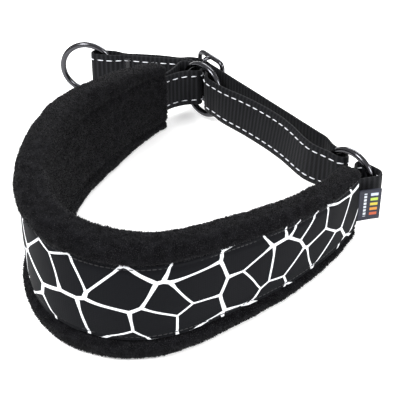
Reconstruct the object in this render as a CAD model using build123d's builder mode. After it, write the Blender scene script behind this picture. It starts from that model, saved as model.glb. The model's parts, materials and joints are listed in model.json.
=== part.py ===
# Martingale collar: a wide padded neck band joined by a drawn loop of flat webbing.
# Units are millimetres, +Z is up, the collar stands on the lower edge of the band.
import os
from math import atan2, cos, degrees, hypot, pi, radians, sin, sqrt

from build123d import *

# ---------------------------------------------------------------- driving sizes
WEB_WIDTH = 25.0          # flat webbing, a standard width
WEB_THICK = 1.8
RING_BORE = 30.0          # inside diameter of the three round rings
RING_WIRE = 4.0
BAND_HEIGHT_MID = 74.0
BAND_HEIGHT_END = 45.0
BAND_THICK_MID = 18.5
BAND_THICK_END = 14.0
PANEL_SHARE = 0.63        # share of the band height that the outer panel covers
PLUSH_THICK = 3.0
PANEL_THICK = 1.6
PANEL_RECESS_MID = 3.0    # the panel lies this far inside the two plush rolls
PANEL_RECESS_END = 1.8
LINING_RECESS = 0.8       # and the lining this far inside them on the neck side
BAND_SCALE = 1.0          # draws the plan of the band larger or smaller
SLIDER_WIRE = 3.2
SLIDER_LENGTH = 28.0
LEG_LENGTH = 62.0         # leash leg, from its bend to the centre of the leash ring
LABEL_TALL = 20.0
LABEL_OUT = 13.0
LABEL_THICK = 1.0
SEAM_WIRE = 0.8           # thread of the two panel seams

# ---------------------------------------------------------------- clearances
GAP = 0.3                 # between soft parts laid together
CORE_GAP = 0.6            # between the foam and the fabric round it
WIRE_GAP = 0.4            # between a wire and the webbing round it
LAYER_GAP = 0.5           # between two layers of webbing
BEND_GAP = 0.7            # each side of the line where the leash leg bends

# ---------------------------------------------------------------- derived sizes
HALF_WEB = WEB_THICK / 2
RING_MEAN = (RING_BORE + RING_WIRE) / 2
RING_OUT = RING_BORE / 2 + RING_WIRE
SIDE = RING_WIRE / 2 + WIRE_GAP + HALF_WEB        # layer beside a wire
OUTER_SIDE = SIDE + WEB_THICK + LAYER_GAP         # a second layer outside the first
NOSE = 3.6                                        # fold tips cross the ring this far off centre
MID_Z = BAND_HEIGHT_END / 2                      # webbing and rings, level with the band ends
WEB_LOW = MID_Z - WEB_WIDTH / 2
TAIL = 18.0                                       # webbing sewn inside each end of the band
LAYER = HALF_WEB + LAYER_GAP / 2                  # two layers lie this far each side of a line
TAIL_LAYER = HALF_WEB + 0.35                      # the tails inside the band lie a little wider
SLIDER_OFF = OUTER_SIDE + HALF_WEB + 1.0 + SLIDER_WIRE + HALF_WEB
STATIONS = 25

# plan of the middle of the band, from its left end round the front to its right end
BAND_PLAN = [
    (-25.5, 143.5), (-34.5, 132), (-43.5, 118.5), (-52.5, 102.5), (-61.3, 85.5), (-69.7, 67.5),
    (-77, 46), (-81.7, 23), (-83.7, 2), (-83.3, -20), (-78.7, -42), (-67, -61.5),
    (-49, -73), (-29.5, -76), (-10.5, -70.2), (6.5, -59), (24.8, -44.8), (42.3, -29.7),
    (57.3, -13.3), (70, 3.3), (81.5, 22.5),
]
RING_LEFT = (2.0 * BAND_SCALE, 151.5 * BAND_SCALE)
RING_RIGHT = (85.5 * BAND_SCALE, 45.5 * BAND_SCALE)
RING_DIR = (0.66, -0.75)                          # the side rings lie along this line in plan
LEG_DIR = (-0.987, 0.16)                          # the leash leg runs out along this line


def unit(v):
    size = hypot(v[0], v[1])
    return (v[0] / size, v[1] / size)


def turn(v):
    """A quarter turn to the left of v in plan."""
    return (-v[1], v[0])


def at(origin, along, x, y):
    """A plan point, x along a line and y to its left."""
    side = turn(along)
    return (origin[0] + x * along[0] + y * side[0], origin[1] + x * along[1] + y * side[1])


RING_DIR = unit(RING_DIR)
LEG_DIR = unit(LEG_DIR)

plan_curve = Spline(*[(x * BAND_SCALE, y * BAND_SCALE, MID_Z) for x, y in BAND_PLAN])
BAND_LENGTH = plan_curve.length


def plan_point(t):
    p = plan_curve.position_at(t)
    d = plan_curve.tangent_at(t)
    return (p.X, p.Y), unit((d.X, d.Y))


def swell(t):
    """0 at the ends of the band, 1 a little left of the front."""
    return max(0.0, sin(pi * min(max(t, 0.0), 1.0) ** 0.85)) ** 1.2


def height(t):
    return BAND_HEIGHT_END + (BAND_HEIGHT_MID - BAND_HEIGHT_END) * swell(t)


def thick(t):
    return BAND_THICK_END + (BAND_THICK_MID - BAND_THICK_END) * swell(t)


def panel_height(t):
    return PANEL_SHARE * height(t) + 6.0 * (1 - swell(t))


def panel_recess(t):
    return PANEL_RECESS_END + (PANEL_RECESS_MID - PANEL_RECESS_END) * swell(t)


def section_plane(t):
    """Local x is outward from the neck, local y is up."""
    (x, y), d = plan_point(t)
    return Plane(origin=(x, y, height(t) / 2), x_dir=(d[1], -d[0], 0), z_dir=(-d[0], -d[1], 0))


def stations(start, end, count=STATIONS):
    return [start + (end - start) * i / (count - 1) for i in range(count)]


def band_loft(label, width, tall, middle, rise, start=0.0, end=1.0, corner=0.4, count=STATIONS):
    """A strip running round the band; width, tall, middle and rise are functions of t."""
    with BuildPart() as strip:
        for t in stations(start, end, count):
            with BuildSketch(section_plane(t)):
                with Locations((middle(t), rise(t))):
                    radius = min(width(t), tall(t)) * corner
                    RectangleRounded(width(t), tall(t), radius)
        loft()
    strip.part.label = label
    return strip


# ---------------------------------------------------------------- padded band
END_T = TAIL / BAND_LENGTH
CAP_T = 3.0 / BAND_LENGTH


def roll_height(t):
    return (height(t) - panel_height(t)) / 2 - GAP


def plush_roll(label, side):
    """The plush turned over one edge of the band and stuffed fat."""
    return band_loft(
        label, thick, roll_height, lambda t: 0.0,
        lambda t: side * (height(t) - roll_height(t)) / 2, corner=0.46)


def plush_lining():
    """The plush that lies against the neck, between the two rolls."""
    return band_loft(
        "plush_lining", lambda t: PLUSH_THICK, lambda t: panel_height(t) - 2 * GAP,
        lambda t: (PLUSH_THICK - thick(t)) / 2 + LINING_RECESS, lambda t: 0.0, corner=0.3)


def core_thick(t):
    shell = LINING_RECESS + PLUSH_THICK + panel_recess(t) + PANEL_THICK
    return thick(t) - shell - 2 * CORE_GAP


def core_middle(t):
    return (LINING_RECESS + PLUSH_THICK - panel_recess(t) - PANEL_THICK) / 2


def foam_core():
    """Foam between the lining and the panel, stopping short of the webbing tails."""
    ends = 2 / (STATIONS - 1)
    return band_loft(
        "foam_core", core_thick, lambda t: panel_height(t) - 2 * CORE_GAP, core_middle,
        lambda t: 0.0, start=ends, end=1 - ends, corner=0.3, count=STATIONS - 4)


def outer_panel():
    return band_loft(
        "outer_panel", lambda t: PANEL_THICK, lambda t: panel_height(t) - 2 * GAP,
        lambda t: thick(t) / 2 - panel_recess(t) - PANEL_THICK / 2, lambda t: 0.0, corner=0.3)


def panel_seam(label, side):
    """A thread lying on the panel just inside one edge."""
    points = []
    for t in stations(0.01, 0.99):
        local = Vector(thick(t) / 2 - panel_recess(t) + 0.8, side * (panel_height(t) / 2 - 2.4), 0)
        points.append(section_plane(t).from_local_coords(local))
    with BuildPart() as seam:
        with BuildLine() as path:
            Spline(*points)
        with BuildSketch(Plane(origin=path.line @ 0, z_dir=path.line % 0)):
            RegularPolygon(SEAM_WIRE / 2, 8)
        sweep(path=path.line)
    seam.part.label = label
    return seam


def end_seam(label, start, end):
    """The turned-in edges that close one end of the band round its webbing tab."""
    cap = band_loft(
        label, core_thick, lambda t: panel_height(t) - 2 * CORE_GAP, core_middle,
        lambda t: 0.0, start=start, end=end, corner=0.3, count=3)
    slot = band_loft(
        "slot", lambda t: 2 * (TAIL_LAYER + HALF_WEB + 0.2), lambda t: WEB_WIDTH + 8 * GAP,
        core_middle, lambda t: 0.0, start=start - 0.002, end=end + 0.002, corner=0.05, count=3)
    with BuildPart() as seam:
        add(cap.part)
        add(slot.part, mode=Mode.SUBTRACT)
    seam.part.label = label
    return seam


# ---------------------------------------------------------------- webbing
def ribbon(label, points, thickness=WEB_THICK, low=WEB_LOW, tall=WEB_WIDTH):
    """A strip standing on edge that follows a smooth line through plan points."""
    line = Spline(*[(x, y, 0) for x, y in points])
    count = max(12, int(line.length / 1.6))
    left = []
    right = []
    for i in range(count + 1):
        p = line.position_at(i / count)
        d = line.tangent_at(i / count)
        side = turn(unit((d.X, d.Y)))
        left.append((p.X + side[0] * thickness / 2, p.Y + side[1] * thickness / 2))
        right.append((p.X - side[0] * thickness / 2, p.Y - side[1] * thickness / 2))
    with BuildPart() as strip:
        with BuildSketch(Plane.XY.offset(low)):
            with BuildLine():
                Spline(*left)
                Line(left[-1], right[-1])
                Spline(*right[::-1])
                Line(right[0], left[0])
            make_face()
        extrude(amount=tall)
    strip.part.label = label
    return strip


def tab_points(centre, mirror, end_t, inward_t):
    """A tab leaves one end of the band, passes round half of a ring and returns."""
    def inside_band(steps, offset):
        pts = []
        for k in steps:
            (px, py), d = plan_point(end_t + (inward_t - end_t) * k)
            pts.append((px + d[1] * offset, py - d[0] * offset))
        return pts

    def ring(x, y):
        return at(centre, RING_DIR, x * mirror, y)

    steps = [1.0, 0.8, 0.6, 0.4, 0.2, 0.0]
    near = inside_band(steps, core_middle(end_t) - TAIL_LAYER)
    far = inside_band(steps[::-1], core_middle(end_t) + TAIL_LAYER)
    loop = [
        ring(-9.6, -9.0), ring(-6.9, -4.2), ring(-4.6, -1.7), ring(-NOSE, 0.3),
        ring(-4.6, 2.5), ring(-8.0, SIDE + 0.1), ring(-14.0, SIDE + 0.2),
        ring(-18.6, SIDE - 0.2), ring(-RING_OUT - HALF_WEB - WIRE_GAP - 0.9, 0.0),
        ring(-19.6, -5.5),
    ]
    return near + loop + far


def tab(label, centre, mirror, end_t, inward_t):
    return ribbon(label, tab_points(centre, mirror, end_t, inward_t))


LEG_END = at(RING_LEFT, RING_DIR, -26.0, 1.5)     # where the leash leg bends
LEG_RING = at(LEG_END, LEG_DIR, LEG_LENGTH, 0.0)  # centre of the leash ring


def leg_side(x, y):
    return at(LEG_END, LEG_DIR, x, y)


STRAND_START = at(RING_LEFT, RING_DIR, -6.0, SLIDER_OFF)
STRAND_END = at(RING_RIGHT, RING_DIR, -27.0, 7.6)
STRAND_DIR = unit((STRAND_END[0] - STRAND_START[0], STRAND_END[1] - STRAND_START[1]))
STRAND_LENGTH = hypot(STRAND_END[0] - STRAND_START[0], STRAND_END[1] - STRAND_START[1])


def control_loop():
    """One strip: leg bend, left ring, inner strand, right ring, outer strand, leg bend."""
    def left(x, y):
        return at(RING_LEFT, RING_DIR, x, y)

    def right(x, y):
        return at(RING_RIGHT, RING_DIR, x, y)

    def strand(x, y):
        return at(STRAND_START, STRAND_DIR, x, y)

    inner = [
        leg_side(-BEND_GAP, LAYER), leg_side(-2.6, LAYER),
        left(-21.0, OUTER_SIDE - 0.4), left(-14.0, OUTER_SIDE + 0.2), left(-7.0, OUTER_SIDE),
        left(-1.2, 4.0), left(2.4, 0.0), left(7.0, -SIDE + 0.4), left(13.0, -SIDE - 0.3),
        left(20.0, -SIDE - 0.6),
    ]
    sway = [
        strand(STRAND_LENGTH * k, -y)
        for k, y in ((0.42, 9.0), (0.56, 7.0), (0.7, 6.6), (0.82, 8.0), (0.92, 10.4))
    ]
    nose = [
        right(-26.0, -SIDE - 0.9), right(-19.0, -SIDE - 0.5), right(-12.0, -SIDE - 0.1),
        right(-7.0, -3.0), right(-NOSE, 0.0), right(-7.0, 3.1), right(-13.0, SIDE + 0.4),
        right(-20.0, SIDE + 1.5),
    ]
    outer = [
        strand(STRAND_LENGTH * k, 0.0)
        for k in (1.0, 0.96, 0.9, 0.8, 0.65, 0.5, 0.35, 0.25, 0.15, 0.08, 0.0)
    ]
    back = [strand(-6.0, 0.0), leg_side(-6.5, -LAYER - 1.2), leg_side(-2.6, -LAYER)]
    return ribbon("control_loop", inner + sway + nose + outer + back
                  + [leg_side(-BEND_GAP, -LAYER)])


def leash_leg():
    """The doubled end of the loop, folded round the leash ring."""
    edge = RING_OUT + 7.0
    pts = [leg_side(BEND_GAP, LAYER), leg_side(5.0, LAYER)]
    pts += [leg_side(LEG_LENGTH - edge - 6.0, LAYER), leg_side(LEG_LENGTH - edge, LAYER)]
    pts += [leg_side(LEG_LENGTH - x, SIDE) for x in (RING_OUT - 1.0, 13.0, 7.6)]
    pts += [leg_side(LEG_LENGTH - NOSE - 0.8, 2.2), leg_side(LEG_LENGTH - NOSE, 0.0)]
    pts += [leg_side(LEG_LENGTH - NOSE - 0.8, -2.2)]
    pts += [leg_side(LEG_LENGTH - x, -SIDE) for x in (7.6, 13.0, RING_OUT - 1.0)]
    pts += [leg_side(LEG_LENGTH - edge, -LAYER), leg_side(LEG_LENGTH - edge - 6.0, -LAYER)]
    pts += [leg_side(5.0, -LAYER), leg_side(BEND_GAP, -LAYER)]
    return ribbon("leash_leg", pts)


def bar_tack(label, x):
    """Dense stitching through both layers of the leash leg."""
    centre = leg_side(x, 0.0)
    with BuildPart() as tack:
        with BuildSketch(Plane.XY.offset(WEB_LOW + 2.0)):
            with Locations(Location((centre[0], centre[1], 0),
                                    (0, 0, degrees(atan2(LEG_DIR[1], LEG_DIR[0]))))):
                Rectangle(2.6, 2 * (LAYER + HALF_WEB) + 0.8)
        extrude(amount=WEB_WIDTH - 4.0)
    tack.part.label = label
    return tack


# ---------------------------------------------------------------- metal
def wire_ring(label, centre, along):
    """A welded round ring standing upright along a plan line."""
    with BuildPart() as ring:
        wire = at(centre, along, RING_MEAN, 0.0)
        side = turn(along)
        with BuildSketch(Plane(origin=(wire[0], wire[1], MID_Z), x_dir=(along[0], along[1], 0),
                               z_dir=(0, 0, 1))):
            Circle(RING_WIRE / 2)
        revolve(axis=Axis((centre[0], centre[1], MID_Z), (side[0], side[1], 0)))
    ring.part.label = label
    return ring


SLIDER_AT = -3.0                                  # from the start of the outer strand


def slider_point(x, y):
    return at(STRAND_START, STRAND_DIR, SLIDER_AT + x, y)


def slider_frame():
    """A wire frame outside the outer strand; its centre bar stands on the other face."""
    offset = HALF_WEB + WIRE_GAP + SLIDER_WIRE / 2
    rail = WEB_WIDTH / 2 + 1.0 + SLIDER_WIRE / 2
    half = SLIDER_LENGTH / 2 - SLIDER_WIRE / 2
    centre = slider_point(0.0, offset)
    face = Plane(origin=(centre[0], centre[1], MID_Z),
                 x_dir=(STRAND_DIR[0], STRAND_DIR[1], 0), z_dir=(STRAND_DIR[1], -STRAND_DIR[0], 0))
    with BuildSketch(face) as outline:
        RectangleRounded(2 * half, 2 * rail, 4)
    path = outline.sketch.face().outer_wire()
    with BuildPart() as frame:
        with BuildSketch(Plane(origin=path @ 0, z_dir=path % 0)):
            Circle(SLIDER_WIRE / 2)
        sweep(path=path)
    frame.part.label = "slider_frame"
    return frame


def slider_bar():
    """The raised centre bar: upright, bowed over the webbing, its feet on the rails."""
    over = HALF_WEB + WIRE_GAP + SLIDER_WIRE / 2
    foot = over - SLIDER_WIRE / 2 - 0.1
    rail = WEB_WIDTH / 2 + 1.0 + SLIDER_WIRE / 2
    centre = slider_point(0.0, 0.0)
    side = turn(STRAND_DIR)
    face = Plane(origin=(centre[0], centre[1], MID_Z), x_dir=(side[0], side[1], 0),
                 z_dir=(STRAND_DIR[0], STRAND_DIR[1], 0))
    with BuildPart() as bar:
        with BuildLine(face) as path:
            FilletPolyline((foot, -rail), (-over, -rail), (-over, rail), (foot, rail), radius=2)
        with BuildSketch(Plane(origin=path.line @ 0, z_dir=path.line % 0)):
            Circle(SLIDER_WIRE / 2 - 0.1)
        sweep(path=path.line)
    bar.part.label = "slider_bar"
    return bar


# ---------------------------------------------------------------- label
def woven_label():
    """A folded label that stands out from the seam at the right end of the band."""
    (ex, ey), d = plan_point(1.0)
    root = (ex + d[0] * 1.0 + d[1] * (thick(1.0) / 2 - 1.2),
            ey + d[1] * 1.0 - d[0] * (thick(1.0) / 2 - 1.2))
    out = unit((0.97, 0.22))
    pts = [at(root, out, x, y) for x, y in ((0.0, 0.0), (4.0, 0.1), (8.0, 0.0), (LABEL_OUT, -0.4))]
    return ribbon("woven_label", pts, thickness=LABEL_THICK, low=MID_Z - 0.62 * LABEL_TALL,
                  tall=LABEL_TALL)


PIECES = [
    foam_core(), plush_lining(), plush_roll("plush_roll_top", 1),
    plush_roll("plush_roll_bottom", -1), outer_panel(),
    panel_seam("seam_top", 1), panel_seam("seam_bottom", -1),
    end_seam("end_seam_left", 0.0, CAP_T), end_seam("end_seam_right", 1 - CAP_T, 1.0),
    tab("tab_left", RING_LEFT, 1, 0.0, END_T * 0.9),
    tab("tab_right", RING_RIGHT, -1, 1.0, 1 - END_T * 0.9),
    woven_label(), control_loop(), leash_leg(), bar_tack("leg_bartack", LEG_LENGTH - RING_OUT - 9.0),
    wire_ring("ring_left", RING_LEFT, RING_DIR), wire_ring("ring_right", RING_RIGHT, RING_DIR),
    wire_ring("leash_ring", LEG_RING, LEG_DIR), slider_frame(), slider_bar(),
]


# ---------------------------------------------------------------- place and write
# the middle of the bounding box stands over the origin, its lowest point at z = 0
BOXES = [piece.part.bounding_box() for piece in PIECES]
LOW = [min(getattr(box.min, c) for box in BOXES) for c in "XYZ"]
HIGH = [max(getattr(box.max, c) for box in BOXES) for c in "XYZ"]
SHIFT = (-(LOW[0] + HIGH[0]) / 2, -(LOW[1] + HIGH[1]) / 2, -LOW[2])

os.makedirs("parts", exist_ok=True)
for piece in PIECES:
    label = piece.part.label
    placed = Pos(*SHIFT) * piece.part
    placed.label = label
    export_step(placed, "parts/" + label + ".step")
print("shift", *[round(v, 3) for v in SHIFT])
print("size", *[round(high - low, 1) for low, high in zip(LOW, HIGH)])
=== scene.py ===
import json
import math

import bmesh
import bpy
import numpy as np
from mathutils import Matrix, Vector, noise


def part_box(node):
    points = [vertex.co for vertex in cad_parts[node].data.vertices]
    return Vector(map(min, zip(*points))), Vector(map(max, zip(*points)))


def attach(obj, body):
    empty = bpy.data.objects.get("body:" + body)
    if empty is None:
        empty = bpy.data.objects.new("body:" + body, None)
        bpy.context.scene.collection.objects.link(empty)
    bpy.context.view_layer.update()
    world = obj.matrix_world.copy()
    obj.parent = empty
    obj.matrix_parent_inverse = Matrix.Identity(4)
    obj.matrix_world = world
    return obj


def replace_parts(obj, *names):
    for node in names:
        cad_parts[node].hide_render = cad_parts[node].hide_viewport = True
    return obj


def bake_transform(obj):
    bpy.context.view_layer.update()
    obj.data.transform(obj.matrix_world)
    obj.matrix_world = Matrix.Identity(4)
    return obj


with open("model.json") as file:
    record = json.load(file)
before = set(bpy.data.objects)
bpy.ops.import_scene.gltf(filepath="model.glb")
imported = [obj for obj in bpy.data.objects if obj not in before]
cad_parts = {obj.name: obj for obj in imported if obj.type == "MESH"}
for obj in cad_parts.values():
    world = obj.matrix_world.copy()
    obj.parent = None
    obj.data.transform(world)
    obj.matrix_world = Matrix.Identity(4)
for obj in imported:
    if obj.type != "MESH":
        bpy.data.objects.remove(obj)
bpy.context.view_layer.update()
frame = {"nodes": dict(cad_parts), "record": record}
MM = 0.001

# ------------------------------------------------------------------ sizes, mm
record = frame["record"]
joints = {j["name"]: j for j in record["behaviour"]["joints"]}


def joint_point(name):
    return np.array(joints[name]["pos_m"][:2]) / MM


def joint_axis(name):
    return np.array(joints[name]["axis"][:2], float)


def node_size(name):
    low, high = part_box(name)
    return [(high[i] - low[i]) / MM for i in range(3)]


WEB_WIDTH = node_size("control_loop")[2]
WEB_THICK = 1.8
MID_Z = (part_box("control_loop")[0][2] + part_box("control_loop")[1][2]) / 2 / MM
RING_LEFT = joint_point("left_ring_turn")
RING_RIGHT = joint_point("right_ring_turn")
LEG_END = joint_point("leash_leg_swing")
LEG_RING = joint_point("leash_ring_turn")
RING_WIRE = 4.0
RING_OUT = node_size("ring_left")[2] / 2
RING_MEAN = RING_OUT - RING_WIRE / 2
WIRE_GAP = 0.4            # between a wire and the webbing round it
LAYER_GAP = 0.5           # between two layers of webbing
TALL_MID = 74.0
TALL_END = 2 * MID_Z
THICK_MID = 18.5
THICK_END = 14.0
RECESS_MID = 3.0          # the panel lies this far inside the two rolls
RECESS_END = 1.8
PANEL_THICK = 1.6
PANEL_SHARE = 0.63        # share of the band height that the panel covers
PANEL_LIFT = 0.25         # the outer fabric stands this far outside the CAD panel
PANEL_OVER = 0.5          # and reaches this far under each roll
SEAM_INSET = 2.6          # from the edge of the fabric to its stitching
LINING_RECESS = 0.8
PLUSH_THICK = 3.0
TAIL_DEPTH = 16.2         # webbing sewn inside each end of the band
# plan of the middle of the band: left end, round the front, right end
BAND_PLAN = [
    (-25.5, 143.5), (-34.5, 132), (-43.5, 118.5), (-52.5, 102.5), (-61.3, 85.5), (-69.7, 67.5),
    (-77, 46), (-81.7, 23), (-83.7, 2), (-83.3, -20), (-78.7, -42), (-67, -61.5),
    (-49, -73), (-29.5, -76), (-10.5, -70.2), (6.5, -59), (24.8, -44.8), (42.3, -29.7),
    (57.3, -13.3), (70, 3.3), (81.5, 22.5),
]


def unit(v):
    v = np.array(v, float)
    return v / np.linalg.norm(v)


def turn(v):
    return np.array([-v[1], v[0]])


def at(origin, along, x, y):
    return np.array(origin) + x * along + y * turn(along)


RING_DIR = unit([joint_axis("left_ring_turn")[1], -joint_axis("left_ring_turn")[0]])
LEG_DIR = unit(LEG_RING - LEG_END)
LEG_LENGTH = float(np.linalg.norm(LEG_RING - LEG_END))
# the plan is placed by the left ring, which stands 28 mm beyond the band's left end
PLAN_SHIFT = RING_LEFT - np.array([2.0, 151.5])
HALF = WEB_THICK / 2
SIDE = RING_WIRE / 2 + WIRE_GAP + HALF            # a layer of webbing beside a wire
OUTER_SIDE = SIDE + WEB_THICK + LAYER_GAP         # a second layer outside the first
LAYER = HALF + LAYER_GAP / 2
NOSE = 3.6                # fold tips cross a ring this far off its centre
SLIDER_WIRE = 3.2
SLIDER_LENGTH = 28.0
SLIDER_AT = -3.0          # from the start of the outer strand
RIB = 3.0                 # pitch of the ribs of the webbing
DASH_ROW = 8.6            # the rows of dashes lie this far each side of the middle
DASH_STEP = 6.0
LEAN = 4.4                # swing of the lower edge of the inner strand toward the neck
LABEL_REACH = 13.0
SLIDER_OFF = OUTER_SIDE + HALF + 1.0 + SLIDER_WIRE + HALF


class Path:
    """A smooth line through plan points, measured along its length in mm."""

    def __init__(self, points):
        p = np.array(points, float)
        t = np.concatenate([[0], np.cumsum(np.linalg.norm(np.diff(p, axis=0), axis=1))])
        n = len(p)
        h = np.diff(t)
        a = np.zeros((n, n))
        b = np.zeros((n, 2))
        a[0, 0] = a[-1, -1] = 1
        for i in range(1, n - 1):
            a[i, i - 1], a[i, i], a[i, i + 1] = h[i - 1], 2 * (h[i - 1] + h[i]), h[i]
            b[i] = 6 * ((p[i + 1] - p[i]) / h[i] - (p[i] - p[i - 1]) / h[i - 1])
        m = np.linalg.solve(a, b)
        rows = []
        for i in range(n - 1):
            u = np.linspace(0, h[i], 24, endpoint=False)[:, None]
            v = h[i] - u
            rows.append((m[i] * v**3 + m[i + 1] * u**3) / (6 * h[i])
                        + (p[i] / h[i] - m[i] * h[i] / 6) * v
                        + (p[i + 1] / h[i] - m[i + 1] * h[i] / 6) * u)
        self.dense = np.vstack(rows + [p[-1:]])
        step = np.linalg.norm(np.diff(self.dense, axis=0), axis=1)
        self.along = np.concatenate([[0], np.cumsum(step)])
        self.length = float(self.along[-1])

    def point(self, s):
        return np.array([np.interp(s, self.along, self.dense[:, k]) for k in (0, 1)])

    def tangent(self, s):
        a, b = max(0.0, s - 0.4), min(self.length, s + 0.4)
        return unit(self.point(b) - self.point(a))


band = Path(np.array(BAND_PLAN, float) + PLAN_SHIFT)


def swell(t):
    return max(0.0, math.sin(math.pi * min(max(t, 0.0), 1.0) ** 0.85)) ** 1.2


def tall(t):
    return TALL_END + (TALL_MID - TALL_END) * swell(t)


def deep(t):
    return THICK_END + (THICK_MID - THICK_END) * swell(t)


def panel_tall(t):
    return PANEL_SHARE * tall(t) + 6.0 * (1 - swell(t))


def recess(t):
    return RECESS_END + (RECESS_MID - RECESS_END) * swell(t)


def on_band(s, out, up):
    """s mm along the band, out from its middle away from the neck, up from its mid height."""
    p, d = band.point(s), band.tangent(s)
    t = s / band.length
    return (p[0] + d[1] * out, p[1] - d[0] * out, tall(t) / 2 + up)


# ------------------------------------------------------------------ materials
class Sum:
    """Shader arithmetic written as Python expressions."""

    def __init__(self, paint, socket):
        self.paint, self.socket = paint, socket

    def _do(self, op, *others):
        return self.paint.maths(op, self, *others)

    def __add__(self, o): return self._do("ADD", o)
    def __radd__(self, o): return self._do("ADD", o)
    def __sub__(self, o): return self._do("SUBTRACT", o)
    def __rsub__(self, o): return self.paint.maths("SUBTRACT", o, self)
    def __mul__(self, o): return self._do("MULTIPLY", o)
    def __rmul__(self, o): return self._do("MULTIPLY", o)
    def sine(self): return self._do("SINE")
    def cosine(self): return self._do("COSINE")
    def absolute(self): return self._do("ABSOLUTE")
    def wrap(self, span): return self._do("MODULO", span)


class Paint:
    """One material built of nodes."""

    def __init__(self, name):
        self.material = bpy.data.materials.new(name)
        self.material.use_nodes = True
        self.tree = self.material.node_tree
        self.shader = self.tree.nodes["Principled BSDF"]

    def node(self, kind, settings=None, **values):
        made = self.tree.nodes.new(kind)
        for key, value in (settings or {}).items():
            setattr(made, key, value)
        for key, value in values.items():
            self.feed(made.inputs[key.replace("_", " ")], value)
        return made

    def feed(self, socket, value):
        if isinstance(value, Sum):
            self.tree.links.new(value.socket, socket)
        else:
            socket.default_value = value

    def take(self, made, output=0):
        return Sum(self, made.outputs[output])

    def maths(self, op, *values):
        made = self.node("ShaderNodeMath", {"operation": op})
        for i, value in enumerate(values):
            self.feed(made.inputs[i], value)
        return self.take(made)

    def smooth(self, value, low, high):
        """0 below low, 1 above high, eased between."""
        made = self.node("ShaderNodeMapRange", {"interpolation_type": "SMOOTHSTEP"},
                         Value=value, From_Min=low, From_Max=high)
        return self.take(made)

    def mix(self, amount, a, b):
        made = self.node("ShaderNodeMix", {"data_type": "RGBA"})
        for index, value in ((0, amount), (6, a), (7, b)):
            self.feed(made.inputs[index], value)
        return self.take(made, 2)

    def place(self, kind="Object"):
        if kind == "Object":
            return self.take(self.node("ShaderNodeTexCoord"), "Object")
        return self.take(self.node("ShaderNodeUVMap", {"uv_map": kind}))

    def parts(self, vector):
        made = self.node("ShaderNodeSeparateXYZ", Vector=vector)
        return [self.take(made, i) for i in range(3)]

    def noise(self, where, scale, detail=2.0, rough=0.5):
        made = self.node("ShaderNodeTexNoise", Vector=where, Scale=scale, Detail=detail,
                         Roughness=rough)
        return self.take(made)

    def set(self, **values):
        for key, value in values.items():
            self.feed(self.shader.inputs[key.replace("_", " ")], value)
        return self

    def bump(self, height, strength=0.4, depth=0.0005):
        made = self.node("ShaderNodeBump", Height=height, Strength=strength, Distance=depth)
        self.set(Normal=self.take(made))
        return self


def grey(v, warm=0.0):
    return (v * (1 + warm), v, v * (1 - warm), 1)


def plush_paint(name, base, tip):
    p = Paint(name)
    where = p.place()
    clump = p.noise(where, 260.0, 3.0, 0.6)
    hair = p.noise(where, 1800.0, 2.0, 0.7)
    p.set(Base_Color=p.mix(p.smooth(clump * 0.7 + hair * 0.3, 0.35, 0.7), base, tip),
          Roughness=p.smooth(hair, 0.0, 1.0) * 0.15 + 0.8)
    p.shader.inputs["Sheen Weight"].default_value = 0.06
    p.shader.inputs["Sheen Roughness"].default_value = 0.4
    p.shader.inputs["Specular IOR Level"].default_value = 0.03
    p.bump(clump * 0.6 + hair * 0.4, 0.5, 0.0006)
    return p.material


def panel_paint():
    """Black shell fabric with a printed web of thin pale lines; its UV is in metres."""
    p = Paint("web_line_print")
    flat = p.place("cloth")
    u, v, _ = p.parts(flat)
    warp = p.noise(flat, 30.0, 1.0)
    bent = p.take(p.node("ShaderNodeCombineXYZ", X=u * 0.86 + warp * 0.006, Y=v + warp * 0.004))
    cell = 0.0175
    edge = p.take(p.node("ShaderNodeTexVoronoi", {"voronoi_dimensions": "2D",
                  "feature": "DISTANCE_TO_EDGE"}, Vector=bent, Scale=1 / cell, Randomness=0.95))
    near = p.take(p.node("ShaderNodeTexVoronoi", {"voronoi_dimensions": "2D", "feature": "F1"},
                  Vector=bent, Scale=1 / cell, Randomness=0.95))
    knot = p.smooth(near, 0.52, 0.78) * 0.028
    line = 1 - p.smooth(edge - knot, 0.023, 0.034)
    threads = (u * 5200.0).sine() * 0.5 + (v * 5200.0).sine() * 0.5
    grain = p.noise(flat, 2600.0, 2.0)
    worn = p.noise(flat, 900.0, 2.0)
    cloth = p.mix(grain, (0.0025, 0.0028, 0.0038, 1), (0.0065, 0.007, 0.0085, 1))
    ink = p.mix(worn, (0.72, 0.74, 0.78, 1), (0.9, 0.91, 0.93, 1))
    p.set(Base_Color=p.mix(line, cloth, ink), Roughness=line * -0.15 + 0.72)
    p.shader.inputs["Specular IOR Level"].default_value = 0.04
    p.shader.inputs["Sheen Weight"].default_value = 0.02
    p.bump(threads * 0.25 + grain * 0.3 + line * 0.8, 0.35, 0.0002)
    return p.material


def webbing_paint():
    p = Paint("black_webbing")
    where = p.place("cloth")
    u, v, _ = p.parts(where)
    weave = (u * 4200.0).sine() * (v * 3400.0).sine()
    fuzz = p.noise(where, 1500.0, 3.0, 0.6)
    # painted shade and highlight: the colour is darker between the ribs, as painted shade in the
    # grooves, and lighter on the rib tops, as a painted highlight
    rib = (u * (2000.0 * math.pi / RIB)).cosine() * 0.5 + 0.5
    # tint mixes random fuzz tone with the painted rib shade and highlight
    tint = fuzz * 0.35 + rib * rib * 0.65
    p.set(Base_Color=p.mix(tint, (0.002, 0.0022, 0.0028, 1), (0.017, 0.0175, 0.02, 1)),
          Roughness=fuzz * 0.2 + 0.55)
    p.shader.inputs["Sheen Weight"].default_value = 0.03
    p.shader.inputs["Specular IOR Level"].default_value = 0.08
    p.bump(weave * 0.5 + fuzz * 0.4, 0.4, 0.00025)
    return p.material


def thread_paint(name, dark, pale, shine=0.5):
    p = Paint(name)
    where = p.place()
    twist = p.noise(where, 3000.0, 2.0)
    p.set(Base_Color=p.mix(twist, dark, pale), Roughness=twist * 0.2 + shine)
    p.bump(twist, 0.3, 0.0001)
    return p.material


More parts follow.
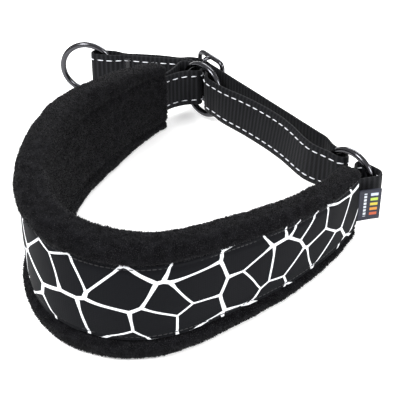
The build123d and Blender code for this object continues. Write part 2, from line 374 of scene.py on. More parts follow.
def metal_paint():
    p = Paint("black_nickel")
    where = p.place()
    smear = p.noise(where, 140.0, 3.0)
    fine = p.noise(where, 2400.0, 2.0)
    p.set(Base_Color=p.mix(smear, (0.045, 0.045, 0.05, 1), (0.085, 0.085, 0.092, 1)),
          Roughness=smear * 0.10 + fine * 0.05 + 0.10)
    p.shader.inputs["Metallic"].default_value = 1.0
    p.bump(fine, 0.05, 0.00005)
    return p.material


def label_paint():
    """A dark woven label with plain coloured bars; its UV runs 0 to 1 across and up."""
    p = Paint("woven_label")
    where = p.place("cloth")
    u, v, _ = p.parts(where)
    inside = p.smooth(u, 0.52, 0.55) * (1 - p.smooth(u, 0.84, 0.87))
    colour = (0.006, 0.008, 0.022, 1)
    for low, tint in ((0.14, (0.5, 0.09, 0.03, 1)), (0.30, (0.62, 0.25, 0.03, 1)),
                      (0.46, (0.62, 0.5, 0.05, 1)), (0.62, (0.45, 0.6, 0.08, 1)),
                      (0.78, (0.55, 0.62, 0.75, 1))):
        bar = inside * p.smooth(v, low, low + 0.02) * (1 - p.smooth(v, low + 0.09, low + 0.11))
        colour = p.mix(bar, colour, tint)
    line = p.smooth(u, 0.24, 0.26) * (1 - p.smooth(u, 0.36, 0.38))
    dash = line * p.smooth(((v * 9.0).wrap(1.0) - 0.5).absolute(), 0.12, 0.2)
    dash = dash * p.smooth(v, 0.12, 0.14) * (1 - p.smooth(v, 0.88, 0.9))
    colour = p.mix(dash, colour, (0.6, 0.64, 0.7, 1))
    weave = (u * 260.0).sine() * 0.5 + (v * 380.0).sine() * 0.5
    p.set(Base_Color=colour, Roughness=weave * 0.05 + 0.6)
    p.bump(weave, 0.35, 0.00012)
    return p.material


def foam_paint():
    p = Paint("foam")
    pores = p.noise(p.place(), 900.0, 3.0)
    p.set(Base_Color=p.mix(pores, grey(0.05), grey(0.11)), Roughness=pores * 0.1 + 0.85)
    p.bump(pores, 0.5, 0.0004)
    return p.material


plush = plush_paint("black_plush", (0.0028, 0.0028, 0.0034, 1), (0.009, 0.009, 0.0105, 1))
pile_tip = plush_paint("plush_pile", (0.003, 0.003, 0.0037, 1), (0.013, 0.013, 0.015, 1))
print_cloth = panel_paint()
web_cloth = webbing_paint()
bright_thread = thread_paint("reflective_thread", (0.62, 0.64, 0.70, 1), (0.9, 0.91, 0.95, 1))
dark_thread = thread_paint("black_thread", (0.006, 0.006, 0.007, 1), (0.022, 0.022, 0.025, 1))
nickel = metal_paint()
label_cloth = label_paint()
foam = foam_paint()


# ------------------------------------------------------------------ meshes
def piece(name, verts, faces, material, uv=None, body="collar", smooth=True):
    """A mesh from points in mm; uv is a list of points, one per vertex."""
    mesh = bpy.data.meshes.new(name)
    mesh.from_pydata([(x * MM, y * MM, z * MM) for x, y, z in verts], [], faces)
    if uv is not None:
        layer = mesh.uv_layers.new(name="cloth")
        for loop in mesh.loops:
            layer.data[loop.index].uv = uv[loop.vertex_index]
    mesh.materials.append(material)
    if smooth:
        mesh.shade_smooth()
    obj = bpy.data.objects.new(name, mesh)
    bpy.context.scene.collection.objects.link(obj)
    face_out(obj)
    if body:
        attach(obj, body)
    return obj


def face_out(obj):
    work = bmesh.new()
    work.from_mesh(obj.data)
    bmesh.ops.recalc_face_normals(work, faces=work.faces)
    work.to_mesh(obj.data)
    work.free()


def tube_faces(rings, around, capped=True, closed=False):
    """Faces joining rings of points; the ends are closed by a fan."""
    faces = []
    spans = rings if closed else rings - 1
    for i in range(spans):
        for j in range(around):
            a, b = i * around + j, i * around + (j + 1) % around
            c = ((i + 1) % rings) * around
            faces.append((a, b, c + (j + 1) % around, c + j))
    if capped and not closed:
        faces.append(tuple(range(around)))
        faces.append(tuple((rings - 1) * around + j for j in reversed(range(around))))
    return faces


def soft(x, y, z, scale, seed=0.0):
    return noise.noise(Vector((x / scale + seed, y / scale - seed, z / scale + 2 * seed)))


# ------------------------------------------------------------------ padded band
def band_profile(t, count=92):
    """Outline of the stuffed plush: fat rolls at both edges, sunk faces between."""
    high, wide = tall(t), deep(t)
    roll = (high - panel_tall(t)) / 2
    points = []
    for k in range(count):
        a = 2 * math.pi * k / count
        c, s = math.cos(a), math.sin(a)
        up = high / 2 * math.copysign(abs(s) ** 0.52, s)
        out = wide / 2 * math.copysign(abs(c) ** 0.42, c)
        from_edge = high / 2 - abs(up)
        arch = max(0.0, 1 - ((from_edge - roll * 0.52) / (roll * 0.62)) ** 2)
        if out > 0:
            sunk = (recess(t) + 1.4) * min(1.0, max(0.0, (from_edge - roll * 0.80) / 1.8))
            out = min(out + 0.7 * arch, wide / 2 + 0.6) - sunk
        else:
            trough = math.exp(-(((from_edge - roll * 1.12) / 1.5) ** 2))
            low = math.exp(-(((from_edge - roll * 2.1) / 1.6) ** 2))
            out = out - 0.3 * arch + 1.7 * trough + 0.55 * low
        points.append((out, up))
    return points


def plush_band():
    rings, verts = 300, []
    around = 92
    for i in range(rings):
        f = i / (rings - 1)
        s = f * band.length
        t = s / band.length
        end = min(s, band.length - s)
        shrink = 1 - 0.5 * max(0.0, 1 - end / 1.6) ** 2
        for out, up in band_profile(t):
            x, y, z = on_band(s, out * shrink, up * (1 - 0.06 * max(0.0, 1 - end / 1.6) ** 2))
            lump = 0.55 * soft(x, y, z, 15.0) + 0.3 * soft(x, y, z, 5.5, 3.0)
            p, d = band.point(s), band.tangent(s)
            push = lump * (0.4 if out > 0 and abs(up) < panel_tall(t) / 2 - 1 else 1.0)
            away = np.array([d[1], -d[0]]) * math.copysign(1, out)
            z += 0.45 * push * math.copysign(1, up)
            verts.append((x + away[0] * push, y + away[1] * push, max(z, 0.02)))
    return piece("plush_band", verts, tube_faces(rings, around), plush)


lining = plush_band()
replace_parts(lining, "plush_lining", "plush_roll_top", "plush_roll_bottom", "foam_core",
            "end_seam_left", "end_seam_right")


def shell_panel():
    """The outer fabric: a thin sheet, crowned a little, its edges turned in."""
    rings, rows = 330, 30
    verts, uv = [], []
    for face in (1, -1):
        for i in range(rings):
            s = 0.2 + (band.length - 0.4) * i / (rings - 1)
            t = s / band.length
            half = panel_tall(t) / 2 + PANEL_OVER
            for j in range(rows):
                v = -1 + 2 * j / (rows - 1)
                up = half * math.copysign(1 - (1 - abs(v)) ** 1.5, v)
                edge = half - abs(up)
                crown = 1.1 * (1 - (up / half) ** 2)
                seam = -0.75 * math.exp(-((edge - SEAM_INSET) / 0.8) ** 2)
                tuck = -1.5 * max(0.0, 1 - edge / 1.1) ** 2
                crease = 0.5 * soft(s, up * 0.35, 1.0, 7.0) * math.exp(-edge / 6.0)
                wave = 0.7 * soft(s, up, 5.0, 26.0) + crease
                out = deep(t) / 2 - recess(t) + PANEL_LIFT + crown + seam + tuck + wave * 0.8
                x, y, z = on_band(s, out + (0 if face > 0 else -1.1), up)
                verts.append((x, y, z))
                uv.append((s * MM, up * MM))
    half_count = rings * rows
    faces = []
    for i in range(rings - 1):
        for j in range(rows - 1):
            a = i * rows + j
            faces.append((a, a + rows, a + rows + 1, a + 1))
            b = a + half_count
            faces.append((b, b + 1, b + rows + 1, b + rows))
    rim = [i * rows for i in range(rings)]
    rim += [(rings - 1) * rows + j for j in range(1, rows)]
    rim += [i * rows + rows - 1 for i in range(rings - 2, -1, -1)]
    rim += [j for j in range(rows - 2, 0, -1)]
    for a, b in zip(rim, rim[1:] + rim[:1]):
        faces.append((a, b, b + half_count, a + half_count))
    return piece("shell_panel", verts, faces, print_cloth, uv)


panel = shell_panel()
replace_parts(panel, "outer_panel")


# ------------------------------------------------------------------ geometry nodes
def tree_inputs(name, inputs):
    tree = bpy.data.node_groups.new(name, "GeometryNodeTree")
    tree.interface.new_socket("Geometry", in_out="OUTPUT", socket_type="NodeSocketGeometry")
    ids = {}
    for label, kind in [("Geometry", "NodeSocketGeometry")] + inputs:
        made = tree.interface.new_socket(label, in_out="INPUT", socket_type=kind)
        ids[label] = made.identifier
    return tree, ids, tree.nodes.new("NodeGroupInput"), tree.nodes.new("NodeGroupOutput")


def to_plain(source, tree, ids, values, name, material, body):
    """Runs the tree on source and keeps the result as a plain mesh."""
    work = source.modifiers.new(name, "NODES")
    work.node_group = tree
    for label, value in values.items():
        work[ids[label]] = value
    graph = bpy.context.evaluated_depsgraph_get()
    graph.update()
    mesh = bpy.data.meshes.new_from_object(source.evaluated_get(graph), depsgraph=graph)
    source.modifiers.remove(work)
    mesh.name = name
    mesh.materials.clear()
    mesh.materials.append(material)
    obj = bpy.data.objects.new(name, mesh)
    bpy.context.scene.collection.objects.link(obj)
    if body:
        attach(obj, body)
    return obj


def stitch_tree():
    """A small shape set at even steps along a line, turned to follow it."""
    tree, ids, start, end = tree_inputs(
        "stitches", [("Step", "NodeSocketFloat"), ("Shape", "NodeSocketObject"),
                     ("Thread", "NodeSocketMaterial")])
    link, new = tree.links.new, tree.nodes.new
    even = new("GeometryNodeResampleCurve")
    even.mode = "LENGTH"
    shape = new("GeometryNodeObjectInfo")
    put = new("GeometryNodeInstanceOnPoints")
    follow = new("GeometryNodeInputTangent")
    aim = new("FunctionNodeAlignRotationToVector")
    aim.axis = "X"
    real = new("GeometryNodeRealizeInstances")
    paint = new("GeometryNodeSetMaterial")
    link(start.outputs["Geometry"], even.inputs["Curve"])
    link(start.outputs["Step"], even.inputs["Length"])
    link(start.outputs["Shape"], shape.inputs["Object"])
    link(follow.outputs["Tangent"], aim.inputs["Vector"])
    link(even.outputs["Curve"], put.inputs["Points"])
    link(shape.outputs["Geometry"], put.inputs["Instance"])
    link(aim.outputs["Rotation"], put.inputs["Rotation"])
    link(put.outputs["Instances"], real.inputs["Geometry"])
    link(real.outputs["Geometry"], paint.inputs["Geometry"])
    link(start.outputs["Thread"], paint.inputs["Material"])
    link(paint.outputs["Geometry"], end.inputs["Geometry"])
    return tree, ids


def tuft_tree():
    """Short tufts scattered over a surface, leaning a little, each its own size."""
    tree, ids, start, end = tree_inputs(
        "tufts", [("Density", "NodeSocketFloat"), ("Shape", "NodeSocketObject"),
                  ("Seed", "NodeSocketInt"), ("Pile", "NodeSocketMaterial")])
    link, new = tree.links.new, tree.nodes.new
    spread = new("GeometryNodeDistributePointsOnFaces")
    shape = new("GeometryNodeObjectInfo")
    put = new("GeometryNodeInstanceOnPoints")
    lean = new("FunctionNodeRandomValue")
    lean.data_type = "FLOAT_VECTOR"
    lean.inputs["Min"].default_value = (-0.6, -0.6, 0.0)
    lean.inputs["Max"].default_value = (0.6, 0.6, 6.28)
    tilt = new("FunctionNodeRotateRotation")
    tilt.rotation_space = "LOCAL"
    to_turn = new("FunctionNodeEulerToRotation")
    size = new("FunctionNodeRandomValue")
    size.inputs[2].default_value = 0.6
    size.inputs[3].default_value = 1.15
    real = new("GeometryNodeRealizeInstances")
    paint = new("GeometryNodeSetMaterial")
    link(start.outputs["Geometry"], spread.inputs["Mesh"])
    link(start.outputs["Density"], spread.inputs["Density"])
    link(start.outputs["Seed"], spread.inputs["Seed"])
    link(start.outputs["Shape"], shape.inputs["Object"])
    link(spread.outputs["Rotation"], tilt.inputs["Rotation"])
    link(lean.outputs[0], to_turn.inputs["Euler"])
    link(to_turn.outputs["Rotation"], tilt.inputs["Rotate By"])
    link(spread.outputs["Points"], put.inputs["Points"])
    link(shape.outputs["Geometry"], put.inputs["Instance"])
    link(tilt.outputs["Rotation"], put.inputs["Rotation"])
    link(size.outputs[1], put.inputs["Scale"])
    link(put.outputs["Instances"], real.inputs["Geometry"])
    link(real.outputs["Geometry"], paint.inputs["Geometry"])
    link(start.outputs["Pile"], paint.inputs["Material"])
    link(paint.outputs["Geometry"], end.inputs["Geometry"])
    return tree, ids


def helper(name, verts, faces):
    mesh = bpy.data.meshes.new(name)
    mesh.from_pydata([(x * MM, y * MM, z * MM) for x, y, z in verts], [], faces)
    mesh.shade_smooth()
    obj = bpy.data.objects.new(name, mesh)
    bpy.context.scene.collection.objects.link(obj)
    face_out(obj)
    return obj


def stitch_shape(name, length, width, height):
    """A rounded stitch lying along x."""
    verts, around = [(-length / 2, 0, 0)], 8
    for f, r in ((-0.82, 0.75), (-0.4, 1.0), (0.4, 1.0), (0.82, 0.75)):
        for k in range(around):
            a = 2 * math.pi * k / around
            verts.append((f * length / 2, r * width / 2 * math.cos(a),
                          r * height / 2 * math.sin(a)))
    verts.append((length / 2, 0, 0))
    faces = [(0, 1 + (k + 1) % around, 1 + k) for k in range(around)]
    for i in range(3):
        for k in range(around):
            a, b = 1 + i * around + k, 1 + i * around + (k + 1) % around
            faces.append((a, b, b + around, a + around))
    last = 1 + 3 * around
    faces += [(last + k, last + (k + 1) % around, len(verts) - 1) for k in range(around)]
    return helper(name, verts, faces)


stitches, stitch_ids = stitch_tree()
tufts, tuft_ids = tuft_tree()


def sew(name, lines, step, shape, material, body="collar"):
    """Stitches along one or more lines of points in mm."""
    curve = bpy.data.curves.new(name + "_line", "CURVE")
    curve.dimensions = "3D"
    for line in lines:
        spline = curve.splines.new("POLY")
        spline.points.add(len(line) - 1)
        for point, (x, y, z) in zip(spline.points, line):
            point.co = (x * MM, y * MM, z * MM, 1)
    source = bpy.data.objects.new(name + "_line", curve)
    bpy.context.scene.collection.objects.link(source)
    made = to_plain(source, stitches, stitch_ids,
                    {"Step": step * MM, "Shape": shape, "Thread": material}, name, material, body)
    bpy.data.objects.remove(source)
    return made


def drop(obj):
    bpy.data.objects.remove(obj)


# ------------------------------------------------------------------ plush pile
def pile():
    """Short black pile over the plush, but not under the outer panel."""
    source = lining.copy()
    source.data = lining.data.copy()
    source.parent = None
    bpy.context.scene.collection.objects.link(source)
    work = bmesh.new()
    work.from_mesh(source.data)
    hidden = []
    for face in work.faces:
        c = face.calc_center_median() / MM
        k = int(np.argmin((band.dense[:, 0] - c[0]) ** 2 + (band.dense[:, 1] - c[1]) ** 2))
        s = band.along[k]
        d = band.tangent(s)
        out = (c[0] - band.dense[k, 0]) * d[1] - (c[1] - band.dense[k, 1]) * d[0]
        t = s / band.length
        if out > 0 and abs(c[2] - tall(t) / 2) < panel_tall(t) / 2 - 0.4:
            hidden.append(face)
    bmesh.ops.delete(work, geom=hidden, context="FACES")
    work.to_mesh(source.data)
    work.free()
    tuft = helper("tuft", [(-0.28, -0.2, -0.2), (0.28, -0.2, -0.2), (0, 0.3, -0.2),
                           (0.2, 0.08, 0.95)],
                  [(0, 1, 3), (1, 2, 3), (2, 0, 3), (0, 2, 1)])
    for name, seed in (("plush_pile", 7), ("plush_pile_second", 19)):
        made = to_plain(source, tufts, tuft_ids,
                        {"Density": 0.85e6, "Shape": tuft, "Seed": seed, "Pile": pile_tip},
                        name, pile_tip, "collar")
    drop(source)
    drop(tuft)


pile()


# ------------------------------------------------------------------ panel stitching
def seam_lines():
    lines = {1: [], -1: []}
    for i in range(260):
        s = 1.5 + (band.length - 3.0) * i / 259
        t = s / band.length
        half = panel_tall(t) / 2 + PANEL_OVER
        for side in (1, -1):
            out = deep(t) / 2 - recess(t) + PANEL_LIFT - 0.35
            lines[side].append(on_band(s, out, side * (half - SEAM_INSET)))
    return lines


seam = seam_lines()
fine_stitch = stitch_shape("fine_stitch", 2.3, 0.55, 0.5)
for side, name in ((1, "seam_top"), (-1, "seam_bottom")):
    made = sew(name + "_stitches", [seam[side]], 2.7, fine_stitch, dark_thread)
    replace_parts(made, name)
panel_tall(0.5) * MM


# ------------------------------------------------------------------ webbing
def band_layer(end_s, depth, offset, steps):
    """Plan points inside one end of the band, offset from its middle."""
    pts = []
    for k in steps:
        s = end_s + (depth if end_s == 0 else -depth) * k
        p, d = band.point(s), band.tangent(s)
        pts.append(np.array([p[0] + d[1] * offset, p[1] - d[0] * offset]))
    return pts


CORE_MIDDLE = (LINING_RECESS + PLUSH_THICK - RECESS_END - PANEL_THICK) / 2
TAIL_LAYER = HALF + 0.35


def tab_points(centre, mirror, end_s):
    def ring(x, y):
        return at(centre, RING_DIR, x * mirror, y)

    steps = [1.0, 0.8, 0.6, 0.4, 0.2, 0.0]
    near = band_layer(end_s, TAIL_DEPTH, CORE_MIDDLE - TAIL_LAYER, steps)
    far = band_layer(end_s, TAIL_DEPTH, CORE_MIDDLE + TAIL_LAYER, steps[::-1])
    loop = [
        ring(-9.6, -9.0), ring(-6.9, -4.2), ring(-4.6, -1.7), ring(-NOSE, 0.3),
        ring(-4.6, 2.5), ring(-8.0, SIDE + 0.1), ring(-14.0, SIDE + 0.2),
        ring(-18.6, SIDE - 0.2), ring(-RING_OUT - HALF - WIRE_GAP - 0.9, 0.0), ring(-19.6, -5.5),
    ]
    return near + loop + far


def leg(x, y):
    return at(LEG_END, LEG_DIR, x, y)


STRAND_START = at(RING_LEFT, RING_DIR, -6.0, SLIDER_OFF)
STRAND_END = at(RING_RIGHT, RING_DIR, -27.0, 7.6)
STRAND_LENGTH = float(np.linalg.norm(STRAND_END - STRAND_START))
STRAND_DIR = unit(STRAND_END - STRAND_START)


def loop_points():
    """The whole control loop as one closed run of webbing, leash leg included."""
    def left(x, y):
        return at(RING_LEFT, RING_DIR, x, y)

    def right(x, y):
        return at(RING_RIGHT, RING_DIR, x, y)

    def strand(x, y):
        return at(STRAND_START, STRAND_DIR, x, y)

    edge = RING_OUT + 7.0
    inner = [leg(-2.6, LAYER), left(-21.0, OUTER_SIDE - 0.4), left(-14.0, OUTER_SIDE + 0.2),
             left(-7.0, OUTER_SIDE), left(-1.2, 4.0), left(2.4, 0.0), left(7.0, -SIDE + 0.4),
             left(13.0, -SIDE - 0.3), left(20.0, -SIDE - 0.6)]
    sway = [strand(STRAND_LENGTH * k, -y) for k, y in
            ((0.42, 9.0), (0.56, 7.0), (0.7, 6.6), (0.82, 8.0), (0.92, 10.4))]
    nose = [right(-26.0, -SIDE - 0.9), right(-19.0, -SIDE - 0.5), right(-12.0, -SIDE - 0.1),
            right(-7.0, -3.0), right(-NOSE, 0.0), right(-7.0, 3.1), right(-13.0, SIDE + 0.4),
            right(-20.0, SIDE + 1.5)]
    outer = [strand(STRAND_LENGTH * k, 0.0)
             for k in (1.0, 0.96, 0.9, 0.8, 0.65, 0.5, 0.35, 0.25, 0.15, 0.08, 0.0)]
    back = [strand(-6.0, 0.0), leg(-6.5, -LAYER - 1.2), leg(-2.6, -LAYER)]
    there = [leg(5.0, -LAYER), leg(LEG_LENGTH - edge - 6.0, -LAYER), leg(LEG_LENGTH - edge, -LAYER)]
    there += [leg(LEG_LENGTH - x, -SIDE) for x in (RING_OUT - 1.0, 13.0, 7.6)]
    fold = [leg(LEG_LENGTH - NOSE - 0.8, -2.2), leg(LEG_LENGTH - NOSE, 0.0),
            leg(LEG_LENGTH - NOSE - 0.8, 2.2)]
    home = [leg(LEG_LENGTH - x, SIDE) for x in (7.6, 13.0, RING_OUT - 1.0)]
    home += [leg(LEG_LENGTH - edge, LAYER), leg(LEG_LENGTH - edge - 6.0, LAYER),
             leg(5.0, LAYER), leg(-2.2, LAYER)]
    return inner + sway + nose + outer + back + there + fold + home


def strand_lean(path, s):
    """How far the lower edge of the inner strand swings toward the neck, mm."""
    if path is not loop_path:
        return 0.0
    f = min(1.0, max(0.0, (s - STRAND_FROM) / (STRAND_TO - STRAND_FROM)))
    return LEAN * math.sin(math.pi * f) ** 0.8


def webbing(name, path, body="collar"):
    """Ribbed webbing standing on edge along a path, with rounded selvedges."""
    count = int(path.length / 0.6)
    rows = [-1.0, -0.985, -0.94, -0.8, -0.6, -0.4, -0.2, 0, 0.2, 0.4, 0.6, 0.8, 0.94, 0.985, 1.0]
    section = [(v, 1) for v in rows] + [(v, -1) for v in reversed(rows)]
    verts, uv = [], []
    for i in range(count + 1):
        s = path.length * i / count
        p, d = path.point(s), path.tangent(s)
        side = turn(d)
        rib = 0.5 + 0.5 * math.cos(2 * math.pi * s / RIB)
        rib = rib ** 0.6
        lean = strand_lean(path, s)
        for v, face in section:
            edge = max(0.0, (abs(v) - 0.93) / 0.07)
            full = HALF * (0.80 + 0.19 * rib * (1 - 0.6 * edge))
            full *= math.sqrt(max(0.1, 1 - 0.9 * edge ** 2))
            wob = 0.1 * soft(s, 7.0 * v, 0, 19.0, len(name))
            half = WEB_WIDTH / 2 - 0.08 + 0.1 * soft(s, 0, v, 9.0)
            x, y = p + side * (face * full - lean * (0.5 - 0.5 * v))
            verts.append((x, y, MID_Z + v * half + wob))
            uv.append((s * MM, v * half * MM))
    made = piece(name, verts, tube_faces(count + 1, len(section)), web_cloth, uv, body=body)
    return made


def dash_lines(path, start=0.0, end=None):
    """Two rows of reflective thread, woven into one face of the webbing only."""
    lines = []
    end = path.length if end is None else end
    for row in (-DASH_ROW, DASH_ROW):
        line = []
        n = max(2, int((end - start) / 1.5))
        for i in range(n + 1):
            s = start + (end - start) * i / n
            lean = strand_lean(path, s) * (0.5 - row / WEB_WIDTH)
            x, y = path.point(s) - turn(path.tangent(s)) * (HALF + 0.02 + lean)
            line.append((x, y, MID_Z + row))
        lines.append(line)
    return lines


dash = stitch_shape("dash", 4.1, 1.15, 0.46)
tab_left_path = Path(tab_points(RING_LEFT, 1, 0.0))
tab_right_path = Path(tab_points(RING_RIGHT, -1, band.length))
loop_path = Path(loop_points())


def nearest(path, spot):
    return float(path.along[int(np.argmin(np.linalg.norm(path.dense - spot, axis=1)))])


# the inner strand leans between the folds round the two side rings
STRAND_FROM = nearest(loop_path, at(RING_LEFT, RING_DIR, 17.0, -SIDE))
STRAND_TO = nearest(loop_path, at(RING_RIGHT, RING_DIR, -14.0, -SIDE))
BEND = (tuple(np.append(leg(-7.0, 0.0), MID_Z) * MM), tuple(np.append(leg(7.0, 0.0), MID_Z) * MM))

for name, path in (("tab_left", tab_left_path), ("tab_right", tab_right_path)):
    strip = webbing(name + "_webbing", path)
    rows = sew(name + "_dashes", dash_lines(path, 14.0, path.length - 14.0), DASH_STEP,
               dash, bright_thread)
    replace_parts(strip, name)
    "ring_left" if name == "tab_left" else "ring_right"

loop_strip = webbing("loop_webbing", loop_path, body=None)
loop_rows = sew("loop_dashes", dash_lines(loop_path), DASH_STEP, dash, bright_thread, body=None)
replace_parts(loop_strip, "control_loop", "leash_leg")


def tack():
    """A bar tack: a dense zigzag of thread across both layers of the leash leg."""
    x = LEG_LENGTH - RING_OUT - 9.0
    lines = []
    for face in (1, -1):
        line = []
        for i in range(41):
            zig = 1.1 if i % 2 else -1.1
            px, py = leg(x + zig, face * (LAYER + HALF + 0.1))
            line.append((px, py, MID_Z - 10.0 + 20.0 * i / 40))
        lines.append(line)
    return sew("bar_tack", lines, 0.8, fine_stitch, dark_thread, body="leash_end")


tack_piece = tack()
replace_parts(tack_piece, "leg_bartack")
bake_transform(loop_strip)
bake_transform(loop_rows)


# ------------------------------------------------------------------ metal
def wire_loop(name, points, radius, body, closed=True):
    """Round wire through 3-D points in mm."""
    pts = np.array(points, float)
    n, around = len(pts), 16
    verts = []
    for i in range(n):
        ahead, behind = pts[(i + 1) % n], pts[i - 1]
        if not closed:
            ahead, behind = pts[min(n - 1, i + 1)], pts[max(0, i - 1)]
        d = ahead - behind
        d /= np.linalg.norm(d)
        flat = np.cross(d, (0, 0, 1.0))
        flat = flat / np.linalg.norm(flat) if np.linalg.norm(flat) > 0.2 else None
        if flat is None:
            flat = np.append(turn(STRAND_DIR), 0)
        up = np.cross(flat, d)
        up /= np.linalg.norm(up)
        flat = np.cross(d, up)
        for k in range(around):
            a = 2 * math.pi * k / around
            verts.append(pts[i] + radius * (math.cos(a) * flat + math.sin(a) * up))
    made = piece(name, [tuple(v) for v in verts],
                 tube_faces(n, around, capped=not closed, closed=closed), nickel, body=body)
    return made


def round_ring(name, centre, along, body, bead):
    """A round ring standing upright along a plan line; bead is where its weld swells it."""
    across = np.array([along[0], along[1], 0.0])
    mid = np.array([centre[0], centre[1], MID_Z])
    side = np.array([turn(along)[0], turn(along)[1], 0.0])
    n, around, verts = 96, 20, []
    for i in range(n):
        a = 2 * math.pi * i / n
        arm = math.cos(a) * across + math.sin(a) * np.array([0, 0, 1.0])
        gap = ((i / n - bead + 0.5) % 1) - 0.5
        r = RING_WIRE / 2 * (0.985 + 0.03 * math.exp(-((gap * n / 1.6) ** 2)))
        for k in range(around):
            b = 2 * math.pi * k / around
            verts.append(tuple(mid + arm * (RING_MEAN + r * math.cos(b)) + side * r * math.sin(b)))
    made = piece(name, verts, tube_faces(n, around, closed=True), nickel, body=body)
    return made


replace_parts(round_ring("left_ring_wire", RING_LEFT, RING_DIR, "left_ring", 0.55), "ring_left")
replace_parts(round_ring("right_ring_wire", RING_RIGHT, RING_DIR, "right_ring", 0.06), "ring_right")
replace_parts(round_ring("leash_ring_wire", LEG_RING, LEG_DIR, "leash_ring_body", 0.6), "leash_ring")


def arc_corner(points, radius, steps=6):
    """Rounds the corners of a closed outline of 3-D points."""
    pts, out = [np.array(p, float) for p in points], []
    n = len(pts)
    for i in range(n):
        a, b, c = pts[i - 1], pts[i], pts[(i + 1) % n]
        u, v = (a - b) / np.linalg.norm(a - b), (c - b) / np.linalg.norm(c - b)
        p, q = b + u * radius, b + v * radius
        for k in range(steps + 1):
            f = k / steps
            out.append((1 - f) ** 2 * p + 2 * f * (1 - f) * b + f * f * q)
    return out


def slider():
    """A wire frame outside the outer strand, with a raised bar on its other face."""
    rail = WEB_WIDTH / 2 + 1.0 + SLIDER_WIRE / 2
    lean = -(HALF + WIRE_GAP + SLIDER_WIRE / 2)
    half = SLIDER_LENGTH / 2 - SLIDER_WIRE / 2

    def point(x, y, z):
        p = at(STRAND_START, STRAND_DIR, SLIDER_AT + x, y)
        return np.array([p[0], p[1], MID_Z + z])

    corners = [point(half, -lean, -rail), point(half, -lean, rail), point(-half, -lean, rail),
               point(-half, -lean, -rail)]
    frame_wire = wire_loop("slider_wire", arc_corner(corners, 5.0), SLIDER_WIRE / 2, "slider")
    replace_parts(frame_wire, "slider_frame")
    foot = -lean - SLIDER_WIRE / 2 + 0.6
    run = [point(0, foot, -rail), point(0, lean + 2, -rail), point(0, lean + 0.6, -rail + 0.5),
           point(0, lean, -rail + 2), point(0, lean, 0), point(0, lean, rail - 2),
           point(0, lean + 0.6, rail - 0.5), point(0, lean + 2, rail), point(0, foot, rail)]
    bar = wire_loop("slider_bar_wire", run, SLIDER_WIRE / 2 - 0.1, "slider", closed=False)
    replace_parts(bar, "slider_bar")


slider()


# ------------------------------------------------------------------ label
def label():
    """A folded woven label: two layers with a rounded fold, sewn in at the band end."""
    low, high = [np.array(v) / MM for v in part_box("woven_label")]
    p, d = band.point(band.length), band.tangent(band.length)
    out = THICK_END / 2 - 1.2
    root = np.array([p[0] + d[0] + d[1] * out, p[1] + d[1] - d[0] * out])
    along = unit([0.97, 0.22])
    reach, height, cols, rows = LABEL_REACH, high[2] - low[2], 17, 21
    verts, uv = [], []
    for face in (1, -1):
        for i in range(cols):
            f = i / (cols - 1)
            belly = 0.42 * math.sqrt(max(0.0, 1 - f ** 6))
            for j in range(rows):
                g = j / (rows - 1)
                curl = -0.5 * f * f + 0.35 * math.sin(3 * f + 2 * g) * f
                x, y = at(root, along, f * reach, curl + face * belly)
                verts.append((x, y, low[2] + g * height + 0.5 * f * math.sin(2.2 * f)))
                uv.append((f, g))
    half_count = cols * rows
    faces = []
    for i in range(cols - 1):
        for j in range(rows - 1):
            a = i * rows + j
            faces.append((a, a + rows, a + rows + 1, a + 1))
            b = a + half_count
            faces.append((b, b + 1, b + rows + 1, b + rows))
    rim = [i * rows for i in range(cols)] + [(cols - 1) * rows + j for j in range(1, rows)]
    rim += [i * rows + rows - 1 for i in range(cols - 2, -1, -1)] + list(range(rows - 2, 0, -1))
    for a, b in zip(rim, rim[1:] + rim[:1]):
        faces.append((a, b, b + half_count, a + half_count))
    made = piece("label", verts, faces, label_cloth, uv)
    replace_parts(made, "woven_label")
    return made


label()
drop(fine_stitch)
drop(dash)

# ------------------------------------------------------------------ every CAD node
SKIN = {"foam": foam, "plush": plush, "shell_fabric": print_cloth, "thread": dark_thread,
        "webbing": web_cloth, "label_weave": label_cloth, "black_metal": nickel}
for part in record["subparts"]:
    node = frame["nodes"][part["node"]]
    if node.type == "MESH":
        node.data.materials.clear()
        node.data.materials.append(SKIN[part["material_slot"]])


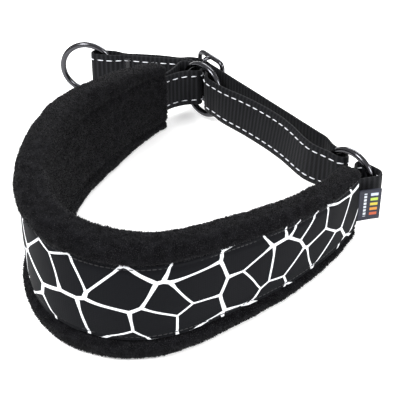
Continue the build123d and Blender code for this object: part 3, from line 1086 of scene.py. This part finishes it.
# ------------------------------------------------------------------ studio
def floor():
    p = Paint("paper")
    tint = p.noise(p.place(), 3.0, 2.0)
    p.set(Base_Color=p.mix(tint, grey(0.93), grey(0.95)), Roughness=tint * 0.1 + 0.8,
          Emission_Color=(1, 1, 1, 1), Emission_Strength=0.35)
    mesh = bpy.data.meshes.new("floor")
    mesh.from_pydata([(-3, -3, 0), (3, -3, 0), (3, 3, 0), (-3, 3, 0)], [], [(0, 1, 2, 3)])
    mesh.materials.append(p.material)
    obj = bpy.data.objects.new("floor", mesh)
    bpy.context.scene.collection.objects.link(obj)


floor()


def lamp(name, place, size, power, aim=(0, 0, 0.03)):
    data = bpy.data.lights.new(name, "AREA")
    data.shape = "RECTANGLE"
    data.size, data.size_y = size
    data.energy = power
    obj = bpy.data.objects.new(name, data)
    obj.location = place
    direction = Vector(aim) - Vector(place)
    obj.rotation_mode = "QUATERNION"
    obj.rotation_quaternion = direction.to_track_quat("-Z", "Y")
    bpy.context.scene.collection.objects.link(obj)


lamp("key", (-0.7, -0.5, 1.1), (0.5, 0.5), 20.0)
lamp("fill", (0.9, -0.6, 0.8), (0.4, 0.4), 11.0)
lamp("rim", (0.3, 1.1, 0.8), (0.9, 0.3), 14.0)

world = bpy.data.worlds.new("studio")
bpy.context.scene.world = world
world.use_nodes = True
world.node_tree.nodes["Background"].inputs["Color"].default_value = (1, 1, 1, 1)
world.node_tree.nodes["Background"].inputs["Strength"].default_value = 0.7
bpy.context.scene.view_settings.view_transform = "Standard"

elevation = math.radians(34.0)
target = Vector(((PLAN_SHIFT[0]) * MM, PLAN_SHIFT[1] * MM, 0.038))
back = Vector((0, -math.cos(elevation), math.sin(elevation)))
eye = bpy.data.cameras.new("camera")
eye.sensor_width = 36.0
eye.lens = 99.0
camera = bpy.data.objects.new("camera", eye)
camera.location = target + back * 0.580
camera.rotation_mode = "QUATERNION"
camera.rotation_quaternion = (-back).to_track_quat("-Z", "Y")
eye.clip_start, eye.clip_end = 0.01, 20.0
bpy.context.scene.collection.objects.link(camera)
bpy.context.scene.camera = camera
